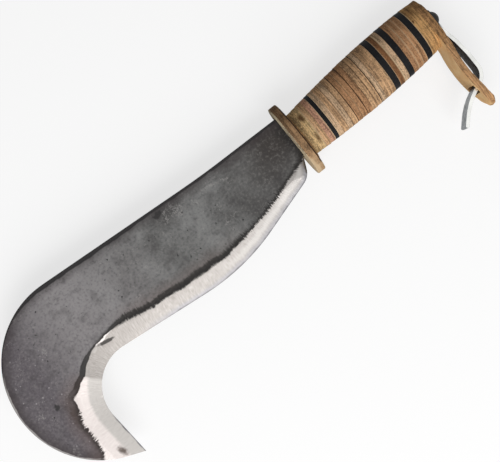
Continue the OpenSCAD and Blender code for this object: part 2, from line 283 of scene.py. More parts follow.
# Carbon steel as it leaves the smith: hard grey scale on the cheeks, cloudy and pitted, burnt black in a
# band along the grinding, and satin steel with wheel marks square to the edge. The scale is half a metal, so
# it has a dull sheen. Along the edge, from the beak, the bill ends at 58 mm, the throat at 88 and the belly
# at 205.
NOTCH = (46, 51)
BILL_END = (57, 59)
BELLY = (165, 205)
steel, shader = finish_named("scaled_and_ground_carbon_steel")
place = add(steel, "TexCoord", out="Object")
x = add(steel, "SeparateXYZ", {0: place})
y = add(steel, "SeparateXYZ", {0: place}, out=1)
grind, edge, along, rim = (
    add(steel, "Attribute", out="Fac", attribute_name=name) for name in ("grind", "edge", "along", "rim"))
clouds = add(steel, "TexNoise", {"Vector": place, "Scale": 1 / (34 * MM), "Detail": 3})
patches = add(steel, "TexNoise", {"Vector": place, "Scale": 1 / (7 * MM), "Detail": 3})
mottle = add(steel, "TexNoise", {"Vector": place, "Scale": 1 / (1.8 * MM), "Detail": 4, "Roughness": 0.65})
# Wheel marks are about 0.2 mm apart on the tool, and 0.5 to 0.8 mm here, so that they show
teeth = add(steel, "TexNoise", {
    "W": along, "Scale": 1 / 0.8, "Detail": 3, "Roughness": 0.75}, noise_dimensions="1D")
teeth = add(steel, "Math", {0: teeth, 1: 0.5}, operation="SUBTRACT")
in_throat = add(steel, "Math", {
    0: add(steel, "MapRange", {0: along, 1: BILL_END[0], 2: BILL_END[1]}),
    1: add(steel, "MapRange", {0: along, 1: 125, 2: 88})}, operation="MULTIPLY")
on_bill = add(steel, "MapRange", {0: along, 1: BILL_END[1], 2: BILL_END[0]})
# The marks make the border of the grinding ragged, most beyond the bill's notch and hardly in the throat
tooth = add(steel, "MapRange", {0: along, 1: 86, 2: 95, 3: 0.8, 4: 6.0})
tooth = add(steel, "MapRange", {0: along, 1: NOTCH[0], 2: NOTCH[1], 3: 7.7, 4: tooth})
border = add(steel, "Math", {0: teeth, 1: tooth, 2: grind}, operation="MULTIPLY_ADD")
border = add(steel, "Math", {0: patches, 1: 3, 2: border}, operation="MULTIPLY_ADD")
ground = add(steel, "MapRange", {0: border, 1: 1.25, 2: 1.75})
# The burnt band is thin at the heel and above the throat, wide between them, and a soft haze on the bill
wide = add(steel, "Math", {
    0: add(steel, "MapRange", {0: along, 1: BELLY[1], 2: BELLY[0]}),
    1: add(steel, "MapRange", {0: along, 1: 86, 2: 104})}, operation="MULTIPLY")
hazy = add(steel, "MapRange", {0: along, 1: 62, 2: 56, 4: 0.85})
wide = add(steel, "Math", {0: wide, 1: hazy}, operation="MAXIMUM")
reach = add(steel, "MapRange", {0: wide, 3: 1.5, 4: 0.1})
feather = add(steel, "MapRange", {0: along, 1: NOTCH[1], 2: NOTCH[0], 4: 9})
reach = add(steel, "Math", {0: teeth, 1: feather, 2: reach}, operation="MULTIPLY_ADD")
burn_from = add(steel, "Math", {0: clouds, 1: -8, 2: reach}, operation="MULTIPLY_ADD")
haze = add(steel, "MapRange", {0: along, 1: 58, 2: 50, 3: 3.4, 4: 5.2})
burn_full = add(steel, "Math", {0: burn_from, 1: haze}, operation="ADD")
burnt = add(steel, "MapRange", {0: border, 1: burn_from, 2: burn_full}, interpolation_type="SMOOTHSTEP")
# Beside the throat it is a strip with a hard border, 4 mm wide at the bill and running out above the throat
strip = add(steel, "MapRange", {0: along, 1: 84, 2: 62, 4: 4.0})
strip = add(steel, "Math", {0: border, 1: strip}, operation="ADD")
strip = add(steel, "MapRange", {0: strip, 1: 1.5, 2: 2.1, 4: 0.92})
for start, full in ((46, 54), (86, 82)):
    within = add(steel, "MapRange", {0: along, 1: start, 2: full})
    strip = add(steel, "Math", {0: strip, 1: within}, operation="MULTIPLY")
burnt = add(steel, "Math", {0: burnt, 1: strip}, operation="MAXIMUM")
# From there on it is as hard, about 4 mm wide along the belly and half as wide at the heel
belly = add(steel, "MapRange", {0: along, 1: BELLY[1], 2: BELLY[0], 3: 2.4, 4: 4.8})
over_throat = add(steel, "MapRange", {0: along, 1: 74, 2: 100, 3: 1.0, 4: 4.8})
belly = add(steel, "Math", {0: belly, 1: over_throat}, operation="MINIMUM")
belly = add(steel, "Math", {0: border, 1: belly}, operation="ADD")
belly = add(steel, "MapRange", {0: belly, 1: 1.2, 2: 2.2, 4: 0.88})
past_bill = add(steel, "MapRange", {0: along, 1: 76, 2: 84})
belly = add(steel, "Math", {0: belly, 1: past_bill}, operation="MULTIPLY")
burnt = add(steel, "Math", {0: burnt, 1: belly}, operation="MAXIMUM")
# The cheeks are paler above the throat, brown-black by the guard, mostly in their upper half, and violet
# on the bill
by_throat = add(steel, "MapRange", {0: x, 1: -110 * MM, 2: -180 * MM, 4: 0.77})
by_guard = add(steel, "MapRange", {0: x, 1: -56 * MM, 2: -18 * MM, 4: 0.95})
upper = add(steel, "MapRange", {0: y, 1: -14 * MM, 2: 4 * MM, 3: 0.4, 4: 1})
by_guard = add(steel, "Math", {0: by_guard, 1: upper}, operation="MULTIPLY")
by_bill = add(steel, "MapRange", {0: x, 1: -188 * MM, 2: -228 * MM, 4: 0.9})
# The last mm before the guard are painted near black as the guard's shade
root_shade = add(steel, "MapRange", {0: x, 1: -7 * MM, 2: -2 * MM, 4: 0.8})
# The scale has pale flecks, dark stains, smears and pits, and chips where it has flaked off below the spine
flecks = add(steel, "MapRange", {0: mottle, 1: 0.51, 2: 0.74, 4: 0.34})
stains = add(steel, "MapRange", {0: mottle, 1: 0.48, 2: 0.28, 4: 0.46})
smears = add(steel, "MapRange", {0: patches, 1: 0.46, 2: 0.3, 4: 0.35})
pit_cells = {"Vector": place, "Scale": 1 / (5 * MM)}
pit_depth = add(steel, "TexVoronoi", pit_cells)
pit_depth = add(steel, "Math", {0: mottle, 1: 0.6, 2: pit_depth}, operation="MULTIPLY_ADD")
pit_depth = add(steel, "MapRange", {0: pit_depth, 1: 0.42, 2: 0.34})
pit_here = add(steel, "MapRange", {0: add(steel, "TexVoronoi", pit_cells, out=1), 1: 0.56, 2: 0.58})
pits = add(steel, "Math", {0: pit_depth, 1: pit_here}, operation="MULTIPLY")
chips = add(steel, "TexNoise", {"Vector": place, "Scale": 1 / (0.9 * MM), "Detail": 3, "Roughness": 0.65})
chips = add(steel, "Math", {0: chips, 1: patches}, operation="ADD")
flaking = add(steel, "Mapping", {
    "Vector": place, "Location": (-68 * MM, 16 * MM, 0), "Rotation": (0, 0, math.radians(-8)),
    "Scale": (46 * MM, 6 * MM, 1)}, vector_type="TEXTURE")
flaking = add(steel, "VectorMath", {0: flaking}, out="Value", operation="LENGTH")
flaking = add(steel, "MapRange", {0: flaking, 1: 1.2, 2: 0.4, 4: 0.17})
chips = add(steel, "Math", {0: chips, 1: flaking}, operation="ADD")
chips = add(steel, "Math", {0: by_guard, 1: -0.12, 2: chips}, operation="MULTIPLY_ADD")
chips = add(steel, "MapRange", {0: chips, 1: 1.22, 2: 1.34, 4: 0.65})
# On the bill a few grains are rubbed bright
spark_cells = {"Vector": place, "Scale": 1 / (3.2 * MM)}
sparks = add(steel, "MapRange", {0: add(steel, "TexVoronoi", spark_cells), 1: 0.2, 2: 0.14, 4: 0.45})
spark_here = add(steel, "MapRange", {0: add(steel, "TexVoronoi", spark_cells, out=1), 1: 0.66, 2: 0.68})
rubbed_bill = add(steel, "MapRange", {0: x, 1: -200 * MM, 2: -225 * MM})
for within in (spark_here, rubbed_bill):
    sparks = add(steel, "Math", {0: sparks, 1: within}, operation="MULTIPLY")
cheek = add(steel, "MapRange", {0: clouds, 1: 0.38, 2: 0.62})
cheek = add(steel, "Mix", {0: cheek, 6: paint("#4b4a49"), 7: paint("#757574")}, out=2, data_type="RGBA")
for amount, dye in (
        (by_throat, "#8b8788"), (by_guard, "#2f2a27"), (by_bill, "#524c51"), (root_shade, "#141211"),
        (flecks, "#8d8986"), (stains, "#2c2a2a"), (smears, "#343132"), (pits, "#1d1c1d"), (chips, "#8f8c8a"),
        (sparks, "#b5b1b2")):
    cheek = add(steel, "Mix", {0: amount, 6: cheek, 7: paint(dye)}, out=2, data_type="RGBA")
# Soot beside the bill's notch
NOTCH_SOOT = ((-226, -37.5, 11, 4.6, 75),)
cheek = spotted(
    steel, place, mottle, cheek, "#211813", NOTCH_SOOT, side=CHEEK, deep=3, soft=0.9, share=0.8)
# The cheek along the straight back is painted dark as the spine's shade, in a band that thins out on the
# bill, and the bill's own back is painted light as its highlight. Near the burnt band the heat has tinted the
# cheek brown.
spine_shade_reach = add(steel, "Math", {0: patches, 1: 5.0, 2: rim}, operation="MULTIPLY_ADD")
spine_shade = add(steel, "MapRange", {0: spine_shade_reach, 1: 11, 2: 3.5, 4: 0.8})
on_spine = add(steel, "MapRange", {0: y, 1: 0, 2: 14 * MM})
from_back = add(steel, "Math", {0: patches, 1: 2.0, 2: rim}, operation="MULTIPLY_ADD")
spine_wide = add(steel, "MapRange", {0: x, 1: -100 * MM, 2: -135 * MM, 3: 2.6, 4: 3.7})
thinned = add(steel, "MapRange", {0: x, 1: -190 * MM, 2: -226 * MM, 4: 2.1})
spine_wide = add(steel, "Math", {0: spine_wide, 1: thinned}, operation="SUBTRACT")
spine_end = add(steel, "Math", {0: spine_wide, 1: 0.6}, operation="ADD")
spine_dark_shade = add(steel, "MapRange", {0: from_back, 1: spine_end, 2: spine_wide, 4: 0.92})
spine_dark_shade = add(steel, "Math", {0: spine_dark_shade, 1: on_spine}, operation="MULTIPLY")
bill_back_highlight = add(steel, "MapRange", {0: from_back, 1: 2.3, 2: 1.9, 4: 0.7})
off_spine = add(steel, "MapRange", {0: on_spine, 1: 1, 2: 0})
bill_back_highlight = add(steel, "Math", {0: bill_back_highlight, 1: off_spine}, operation="MULTIPLY")
tempered = add(steel, "MapRange", {0: border, 1: -11, 2: -1, 4: 0.5})
tempered = add(steel, "Math", {0: tempered, 1: wide}, operation="MULTIPLY")
for amount, dye in (
        (spine_shade, "#30292a"), (spine_dark_shade, "#141213"), (bill_back_highlight, "#a8a4a2"), (tempered, "#64544f")):
    cheek = add(steel, "Mix", {0: amount, 6: cheek, 7: paint(dye)}, out=2, data_type="RGBA")
soot = add(steel, "Mix", {0: on_bill, 6: paint("#181513"), 7: paint("#261d1a")}, out=2, data_type="RGBA")
cheek = add(steel, "Mix", {0: burnt, 6: cheek, 7: soot}, out=2, data_type="RGBA")
# The ground steel is duller in the throat and at the heel's end, and lighter on the bill and towards the heel
wheel_at = add(steel, "CombineXYZ", {
    0: add(steel, "Math", {0: along, 1: 1 / 0.5}, operation="MULTIPLY"),
    1: add(steel, "Math", {0: edge, 1: 1 / 5}, operation="MULTIPLY")})
wheel = add(steel, "TexNoise", {
    "Vector": wheel_at, "Scale": 1, "Detail": 3, "Roughness": 0.65}, noise_dimensions="2D")
streaks = add(steel, "MapRange", {0: wheel, 1: 0.36, 2: 0.64})
dull = add(steel, "Math", {0: in_throat, 1: 0.35}, operation="MULTIPLY")
lighter = add(steel, "Math", {0: on_bill, 1: 0.4}, operation="MULTIPLY")
heel_half = add(steel, "MapRange", {0: along, 1: 160, 2: 205, 4: 0.32})
by_heel = add(steel, "MapRange", {0: along, 1: 240, 2: 252, 4: 0.5})
# Above the throat a thin bright crescent along the border is a painted highlight
crest_highlight = add(steel, "Math", {
    0: add(steel, "MapRange", {0: along, 1: 71, 2: 78}),
    1: add(steel, "MapRange", {0: along, 1: 87, 2: 80})}, operation="MULTIPLY")
crest_highlight_end = add(steel, "MapRange", {0: crest_highlight, 3: 0.4, 4: 2.3})
crest_highlight_from = add(steel, "Math", {0: crest_highlight_end, 1: 0.8}, operation="ADD")
crest_highlight = add(steel, "MapRange", {0: border, 1: crest_highlight_from, 2: crest_highlight_end})
# The edge of the belly is honed to a grey band with a dark line; towards the heel a light crown above it
# is a painted highlight
by_belly = add(steel, "MapRange", {0: along, 1: 100, 2: 125, 4: 0.8})
by_point = add(steel, "MapRange", {0: along, 1: 34, 2: 26})
honed = add(steel, "Math", {0: patches, 1: 2.5, 2: edge}, operation="MULTIPLY_ADD")
crown_highlight = add(steel, "MapRange", {0: honed, 1: 4.2, 2: 5.8, 4: 0.25})
for way, start, full in ((honed, 9.0, 7.2), (along, 165, 195)):
    within = add(steel, "MapRange", {0: way, 1: start, 2: full})
    crown_highlight = add(steel, "Math", {0: crown_highlight, 1: within}, operation="MULTIPLY")
hone_band = add(steel, "MapRange", {0: honed, 1: 5.0, 2: 2.6})
hone_band = add(steel, "Math", {0: hone_band, 1: by_belly}, operation="MULTIPLY")
keen_line = add(steel, "MapRange", {0: honed, 1: 2.1, 2: 1.5})
by_edge = add(steel, "Math", {0: by_belly, 1: by_point}, operation="MAXIMUM")
keen_line = add(steel, "Math", {0: keen_line, 1: by_edge}, operation="MULTIPLY")
bright = add(steel, "Mix", {0: streaks, 6: paint("#8c8783"), 7: paint("#a4a09c")}, out=2, data_type="RGBA")
for amount, dye in (
        (dull, "#837e7a"), (lighter, "#d0ccc8"), (crest_highlight, "#c6c0bd"), (heel_half, "#bdb9b6"),
        (by_heel, "#7d7976"), (crown_highlight, "#d0cdca"), (hone_band, "#8f8e91"), (keen_line, "#5c5b5e")):
    bright = add(steel, "Mix", {0: amount, 6: bright, 7: paint(dye)}, out=2, data_type="RGBA")
# Behind its bevel the bill is ground to a second, paler flat
flat_from = add(steel, "Math", {0: teeth, 1: 2.5, 2: edge}, operation="MULTIPLY_ADD")
beak_flat = add(steel, "MapRange", {0: flat_from, 1: 8.2, 2: 10.2})
beak_flat = add(steel, "Math", {0: beak_flat, 1: on_bill}, operation="MULTIPLY")
pale_flat = add(steel, "Mix", {0: streaks, 6: paint("#c9c0bd"), 7: paint("#d6cfcb")}, out=2, data_type="RGBA")
bright = add(steel, "Mix", {0: beak_flat, 6: bright, 7: pale_flat}, out=2, data_type="RGBA")
colour = add(steel, "Mix", {0: ground, 6: cheek, 7: bright}, out=2, data_type="RGBA")
# Burnt spots below the spine, on the bill and in the throat, and a brown stain at the beak
BURNT_SPOTS = ((-98.7, 23.4, 3.4, 1.9, 10), (-232, -27.5, 1.9, 2.3, 0), (-179, -16.3, 6, 1.4, -14))
BEAK_STAIN = ((-218.5, -77.2, 5.0, 2.5, -75),)
colour = spotted(steel, place, mottle, colour, "#1f1d1d", BURNT_SPOTS, side=CHEEK, deep=3)
colour = spotted(steel, place, mottle, colour, "#3a2d22", BEAK_STAIN, side=CHEEK, deep=3, soft=0.7)
scale_rough = add(steel, "MapRange", {0: mottle, 1: 0.3, 2: 0.7, 3: 0.62, 4: 0.45})
wheel_rough = add(steel, "MapRange", {0: wheel, 1: 0.3, 2: 0.7, 3: 0.46, 4: 0.32})
rough = add(steel, "Mix", {0: ground, 2: scale_rough, 3: wheel_rough})
relief = add(steel, "Mix", {0: ground, 2: mottle, 3: wheel})
relief = add(steel, "Math", {0: relief, 1: pits}, operation="SUBTRACT")
bump = add(steel, "Bump", {"Height": relief, "Strength": 0.5, "Distance": 0.08 * MM})
metal = add(steel, "MapRange", {0: ground, 3: 0.45, 4: 1})
for socket, value in (("Base Color", colour), ("Roughness", rough), ("Metallic", metal), ("Normal", bump)):
    steel.node_tree.links.new(value, shader.inputs[socket])
blade.data.materials.append(steel)
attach(blade, "tool")

# Guard: a thick oval of vegetable-tanned leather, cut from sole leather and pushed over the tang against the
# blade. Its cut side is sanded and stained brown, and its flat faces keep the pale flesh side of the hide.
LEAN = math.radians(2.6)
AXIS = Vector((math.cos(LEAN), -math.sin(LEAN), 0))
GUARD_ROUND = 0.3
GUARD_SLOT = 12
GUARD_CUTS = (1.2, 2.4, 3.6, 4.8, 5.4)
FLESH_SIDE = 0.6
# Painted shade and light on the guard, and the size of its grime patches
GRIME_PATCH, SHADE_FROM, SHADE_SPREAD = 6, -4, 26
LIT_FROM, LIT_SLOPE = -12, 0.25
BACK_SHADE_T, BACK_SHADE_HALF = 0.8, 22


def is_rim(at, a, b, reach):
    """Whether an edge at a place in mm is on an oval's outer rim, farther out than reach, between its side
    and one of its flat faces."""
    across = sorted(abs(n.dot(AXIS)) for n in (a, b))
    return math.hypot(at.y, at.z) > reach and across[1] > 0.99 and across[0] < 0.9


def cut_leather(name, body, layer=1.3, patch=6, stain=0.35, fibre=0.75, blots=()):
    """Sanded leather seen at its cut side, as washers show it: layers of the hide, blotches of dye and loose
    fibres. The layer's thickness and the blotches' size are in mm. It is dry, so it has hardly any gloss."""
    leather, shader = finish_named(name)
    deep, pale = ("#" + "".join(f"{min(255, round(int(body[i:i + 2], 16) * k)):02x}" for i in (1, 3, 5))
                  for k in (0.6, 1.22))
    place = add(leather, "TexCoord", out="Object")
    flat = add(leather, "Mapping", {"Vector": place, "Rotation": (0, 0, LEAN)})
    lying = add(leather, "Mapping", {"Vector": flat, "Scale": [1 / (k * MM) for k in (layer, 26, 26)]})
    layers = add(leather, "TexNoise", {"Vector": lying, "Scale": 1, "Detail": 2, "Roughness": 0.6})
    # Sanding lines are about 0.2 mm apart and fibres finer still, and both are drawn wider, so that they show
    sanding = add(leather, "Mapping", {"Vector": flat, "Scale": [1 / (k * MM) for k in (0.7, 12, 12)]})
    lines = add(leather, "TexNoise", {"Vector": sanding, "Scale": 1, "Detail": 2, "Roughness": 0.6})
    blotch = add(leather, "TexNoise", {"Vector": place, "Scale": 1 / (patch * MM), "Detail": 3})
    combed = add(leather, "Mapping", {"Vector": flat, "Scale": [1 / (k * MM) for k in (0.75, 1.2, 1.2)]})
    fibres = add(leather, "TexNoise", {"Vector": combed, "Scale": 1, "Detail": 2, "Roughness": 0.7})
    low = add(leather, "MapRange", {0: layers, 1: 0.36, 2: 0.5, 3: 0.3})
    tone = add(leather, "Mix", {0: low, 6: paint(deep), 7: paint(body)}, out=2, data_type="RGBA")
    high = add(leather, "MapRange", {0: layers, 1: 0.5, 2: 0.64, 4: 0.7})
    tone = add(leather, "Mix", {0: high, 6: tone, 7: paint(pale)}, out=2, data_type="RGBA")
    for pattern, near, far, share, dye in (
            (lines, 0.47, 0.34, 0.6, deep), (lines, 0.54, 0.67, 0.55, pale),
            (blotch, 0.46, 0.34, stain, deep), (blotch, 0.54, 0.68, 0.35, pale),
            (fibres, 0.47, 0.32, fibre, deep), (fibres, 0.53, 0.68, fibre, pale)):
        amount = add(leather, "MapRange", {0: pattern, 1: near, 2: far, 4: share})
        tone = add(leather, "Mix", {0: amount, 6: tone, 7: paint(dye)}, out=2, data_type="RGBA")
    tone = spotted(leather, place, blotch, tone, "#4a2c14", blots, side=12, deep=9, soft=1.0, share=0.85)
    # A seam above 0 is darkened and one below 0 paled: dirt and rubbing on the washers and the strap, and
    # painted shade and painted light on the guard
    seam = add(leather, "Attribute", out="Fac", attribute_name="seam")
    darkening = add(leather, "MapRange", {0: seam, 1: 0.1, 2: 0.8, 4: 0.95})
    tone = add(leather, "Mix", {0: darkening, 6: tone, 7: paint("#24160c")}, out=2, data_type="RGBA")
    paling = add(leather, "MapRange", {0: seam, 1: -0.1, 2: -0.8, 4: 0.85})
    tone = add(leather, "Mix", {0: paling, 6: tone, 7: paint("#cdb491")}, out=2, data_type="RGBA")
    relief = add(leather, "Math", {0: lines, 1: fibres}, operation="ADD")
    bump = add(leather, "Bump", {"Height": relief, "Strength": 0.6, "Distance": 0.15 * MM})
    rough = add(leather, "MapRange", {0: fibres, 3: 0.72, 4: 0.95})
    shader.inputs["Specular IOR Level"].default_value = 0.18
    for socket, value in (("Base Color", tone), ("Roughness", rough), ("Normal", bump)):
        leather.node_tree.links.new(value, shader.inputs[socket])
    return leather


guard = copy_of("guard", "leather_guard")
round_edges(guard, GUARD_ROUND, 2, lambda at, a, b: is_rim(at, a, b, GUARD_SLOT))
slice_piece(guard, AXIS, GUARD_CUTS)
# Its upper end is painted darker as shade, with patches of grime, and the front of its lower end paler
# as painted light; its back rim is painted dark as the shade in the gap before the collar
back = max(AXIS.dot(point.co) for point in guard.data.vertices)
light_shade_and_grime = []
for point in guard.data.vertices:
    shade_and_grime = 0.45 * (point.co.y / MM - SHADE_FROM) / SHADE_SPREAD
    shade_and_grime += 0.34 * noise.noise(point.co / MM / GRIME_PATCH)
    lit_front = AXIS.dot(point.co) / MM < -LIT_SLOPE * (point.co.y / MM - LIT_FROM)
    shaded_back = 0.05 < (back - AXIS.dot(point.co)) / MM < BACK_SHADE_T and abs(point.co.y) < BACK_SHADE_HALF * MM
    light_shade_and_grime.append(1 if shaded_back else -0.9 if lit_front else min(0.5, shade_and_grime))
give(guard, "seam", light_shade_and_grime)
settle(guard, 35)
guard.data.materials.append(cut_leather("sanded_sole_leather", "#9a7a5a", layer=1.6, patch=5, stain=0.6))
guard.data.materials.append(cut_leather("pale_flesh_side", "#d6c2a2", layer=3, stain=0.2))
flat_faces = [int(abs(face.normal.dot(AXIS)) > FLESH_SIDE) for face in guard.data.polygons]
guard.data.polygons.foreach_set("material_index", flat_faces)
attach(guard, "tool")

# Collar washer: a thin washer of hard brown leather between the guard and the grip, a little larger than the
# grip. The grip's washers press it flat against the guard.
COLLAR_ROUND = 0.3
TANG_SLOT = 8
collar = copy_of("collar_washer", "leather_collar")
round_edges(collar, COLLAR_ROUND, 2, lambda at, a, b: is_rim(at, a, b, TANG_SLOT))
settle(collar, 35)
collar.data.materials.append(cut_leather("hard_brown_leather", "#b98f62", patch=5))
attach(collar, "tool")

# Leather washers: 23 ovals stamped from hides of several tannings, stacked on the tang and sanded to one
# barrel. Some seams have opened to a thin dark line, and others are pressed so tight that only the tone
# changes.
WASHER_T = 4
RING, LAST_RING = 0.66, 0.4
RING_DEPTH = 0.09
RING_WAVE = 9
SANDING_STEP = 0.22
OPEN_ROUND, TIGHT_ROUND = 0.42, 0.2
SEAM_WIDE = 0.25
OPEN_SEAM, TIGHT_SEAM = 0.8, 0.12
# Oil has soaked into the first two washers in two places
OIL_BLOTS = ((13.2, 8, 2.0, 4.5, 0), (13.0, -8.8, 2.0, 4.0, 0))
# The last two are darker brown at their upper side, and a small hole there is painted dark as its shade,
# laid on twice
BUTT_BLOTS = ((110, 13, 5, 5, 0), (108.5, 6.3, 0.9, 1.3, -30), (108.5, 6.3, 0.9, 1.3, -30))
umber = cut_leather("umber_leather", "#a57c59")
tan = cut_leather("tan_leather", "#ba9570")
rose = cut_leather("rose_leather", "#b78b72", patch=4)
pale = cut_leather("pale_leather", "#c0a181")
olive = cut_leather("olive_leather", "#c9aa7c", stain=0.5, blots=OIL_BLOTS)
russet = cut_leather("russet_leather", "#7c5638")
buff = cut_leather("buff_leather", "#bb9160", stain=0.5, fibre=0.6, blots=BUTT_BLOTS)
WASHER_TONES = [
    olive, olive, tan, rose,
    pale, tan, pale, tan, umber, umber, umber, tan, tan, pale, tan, tan,
    russet, pale,
    umber, umber, umber,
    buff, buff]
# How dark the seam behind each washer is, from 1, open, to 0, and below 0 where the rim is rubbed pale
SEAMS = {
    2: -0.6, 4: -0.8, 6: 0.35, 7: 0.4, 8: 0.9, 9: -0.5, 10: 0.9, 11: 0.3, 12: 0.45, 13: 1.0, 15: 0.3,
    16: -0.5, 17: -0.8, 19: -0.5, 20: -0.5, 21: -0.6}
for i, leather in enumerate(WASHER_TONES, 1):
    node = f"leather_washer_{i:02d}"
    washer = copy_of(node, f"grip_washer_{i:02d}")
    low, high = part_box(node)
    middle = AXIS.dot((low + high) / 2) / MM
    before, behind = SEAMS.get(i - 1, TIGHT_SEAM), SEAMS.get(i, TIGHT_SEAM)
    gap = OPEN_ROUND if max(before, behind) > OPEN_SEAM else TIGHT_ROUND
    round_edges(washer, gap, 2, lambda at, a, b: is_rim(at, a, b, TANG_SLOT))
    rings = np.arange(middle - WASHER_T / 2 + RING, middle + WASHER_T / 2 - LAST_RING, RING)
    slice_piece(washer, AXIS, rings)
    # Each washer stands a little high or low after sanding, with fine rings of its own
    lines = []
    step = SANDING_STEP * noise.noise(Vector((i * 1.7, 0.5, 0.5)))
    for point in washer.data.vertices:
        at = point.co / MM
        deep = AXIS.dot(at) - middle
        out = at - AXIS * AXIS.dot(at)
        if out.length > TANG_SLOT:
            ring_at = Vector((i * 9 + deep / RING, at.y / RING_WAVE, at.z / RING_WAVE))
            ripple = RING_DEPTH * noise.noise(ring_at)
            point.co += out.normalized() * (step + ripple) * MM
        near_seam = abs(deep) > WASHER_T / 2 - SEAM_WIDE
        lines.append(0 if not near_seam else behind if deep > 0 else before)
    give(washer, "seam", lines)
    settle(washer, 35)
    washer.data.materials.append(leather)
    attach(washer, "tool")

# Black spacers: four ovals of vulcanised fibre between the groups of leather, sanded flush with them.
# Sanding leaves the black dull, with a little grey dust in its pores.
SPACER_ROUND = 0.2
fibre, shader = finish_named("black_vulcanised_fibre")
place = add(fibre, "TexCoord", out="Object")
pores = add(fibre, "TexNoise", {"Vector": place, "Scale": 1 / (1.1 * MM), "Detail": 3, "Roughness": 0.7})
haze = add(fibre, "TexNoise", {"Vector": place, "Scale": 1 / (9 * MM), "Detail": 2})
dust = add(fibre, "MapRange", {0: pores, 1: 0.52, 2: 0.72, 4: 0.7})
black = add(fibre, "MapRange", {0: haze, 1: 0.4, 2: 0.6})
black = add(fibre, "Mix", {0: black, 6: paint("#0b0b0c"), 7: paint("#141416")}, out=2, data_type="RGBA")
black = add(fibre, "Mix", {0: dust, 6: black, 7: paint("#2c2e32")}, out=2, data_type="RGBA")
bump = add(fibre, "Bump", {"Height": pores, "Strength": 0.4, "Distance": 0.08 * MM})
dull = add(fibre, "MapRange", {0: pores, 3: 0.5, 4: 0.75})
shader.inputs["Specular IOR Level"].default_value = 0.12
for socket, value in (("Base Color", black), ("Roughness", dull), ("Normal", bump)):
    fibre.node_tree.links.new(value, shader.inputs[socket])
for i in range(1, 5):
    spacer = copy_of(f"black_spacer_{i}", f"fibre_spacer_{i}")
    round_edges(spacer, SPACER_ROUND, 2, lambda at, a, b: is_rim(at, a, b, TANG_SLOT))
    settle(spacer, 35)
    spacer.data.materials.append(fibre)
    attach(spacer, "tool")

# Strap: one piece of belt leather. Its upper end is the last washer of the grip, clamped under the hook, and
# the rest bends down as a tongue, with a slot in its end that keeps the hook's leg from leaving a belt.
STRAP_T = 4.39
CLAMPED = (117.4, 0.0)
TOP = 17.5
GRIP_FLAT = 0.72
STRAP_HALF = 12.5
FOLD = 19.23
FOLD_FROM, FOLD_TO = 16.5, 23.5
FOLD_TURN = -13.4
CURVE = 36.13
CURVE_TURN = 23
STRAIGHT = 14
TIP_R = 10
TIP_WORN, TIP_THIN = 0.45, 5
SLOT = (50.0, 56.5)
SLOT_SLANT = 0.25
SLOT_HALF = 8.7
SLOT_ROOM = 0.5
NECK_HOLE = 2.7
HOOK_HALF = 8.4
PRESSED = 0.7
PRESSED_HALF, PRESSED_LOW, PRESSED_END = 10, 10, 16
STRAP_ROUND = 1.0
WASHER_END = 15.5
BURNISHED = (14, 62)
LUMP, LUMP_SIZE = 0.6, 3.2
LUMPED = (60, 67)
FRAY_SIZE = 2.2
FRAYED = (65, 68)
# Rows and columns of the flat strap's faces, and the column that follows the slot's ends
OVAL_ROWS, TIP_ROWS = 9, 8
FIRST_ROW, ROW_PITCH, LAST_ROW = 5, 1.8, 58.1
COLUMNS = [-1, -0.95, -0.8, -0.6, -0.4, -0.21, 0, 0.21, 0.4, 0.6, 0.8, 0.95, 1]
SLOT_COLUMN = 0.6
MARGIN = 2.5
STEP = 0.05
# The leather is darker at the bend, and a cleft at the tip is painted dark as its shade
WARM_BLOTS = (
    (114.5, -17.5, 1.6, 3, 0), (115.6, -67.4, 1.5, 0.9, -40), (115.6, -67.4, 1.5, 0.9, -40),
    (117.6, -67.2, 1, 1, 0))
strap_end = FOLD + CURVE + STRAIGHT


def ease(low, high, value):
    """From 0 at low to 1 at high, with soft ends."""
    share = min(1, max(0, (value - low) / (high - low)))
    return share * share * (3 - 2 * share)


def strap_half(s):
    """Half width of the strap at a length s from the tang: an oval, straight sides and a narrow round tip."""
    if s < 0:
        return GRIP_FLAT * math.sqrt(max(0, TOP**2 - s**2))
    if s > strap_end - TIP_R:
        return math.sqrt(max(0, TIP_R**2 - (s - strap_end + TIP_R) ** 2))
    narrowed = (s - FOLD - CURVE) / (STRAIGHT - TIP_R)
    return STRAP_HALF - (STRAP_HALF - TIP_R) * min(1, max(0, narrowed))


def heading(s):
    """Direction of the strap's middle line at a length s, in degrees."""
    curve = min(1, max(0, (s - FOLD) / CURVE))
    return -90 - math.degrees(LEAN) + FOLD_TURN * ease(FOLD_FROM, FOLD_TO, s) + CURVE_TURN * curve


rows = [-TOP * math.cos(math.pi * k / (2 * OVAL_ROWS)) for k in range(OVAL_ROWS + 1)]
rows += [-NECK_HOLE, NECK_HOLE, *np.arange(FIRST_ROW, SLOT[0], ROW_PITCH)]
rows += [SLOT[0], sum(SLOT) / 2, SLOT[1], LAST_ROW]
rows += [strap_end - TIP_R + TIP_R * math.sin(math.pi / 2 * k / TIP_ROWS) for k in range(TIP_ROWS + 1)]
rows = sorted(set(round(r, 3) for r in rows))
bpy.ops.object.select_all(action="DESELECT")
bpy.ops.mesh.primitive_grid_add(x_subdivisions=len(rows) - 1, y_subdivisions=len(COLUMNS) - 1, size=1)
strap = bpy.context.object
strap.name = strap.data.name = "strap_with_tongue"
for point in strap.data.vertices:
    s = rows[round((point.co.x + 0.5) * (len(rows) - 1))]
    share = COLUMNS[round((point.co.y + 0.5) * (len(COLUMNS) - 1))]
    half = strap_half(s)
    inner = min(SLOT_HALF, max(0.4 * half, half - MARGIN))
    w = min(1, abs(share) / SLOT_COLUMN) * inner
    w += max(0, abs(share) - SLOT_COLUMN) / (1 - SLOT_COLUMN) * (half - inner)
    point.co = Vector((s, math.copysign(w, share), 0)) * MM
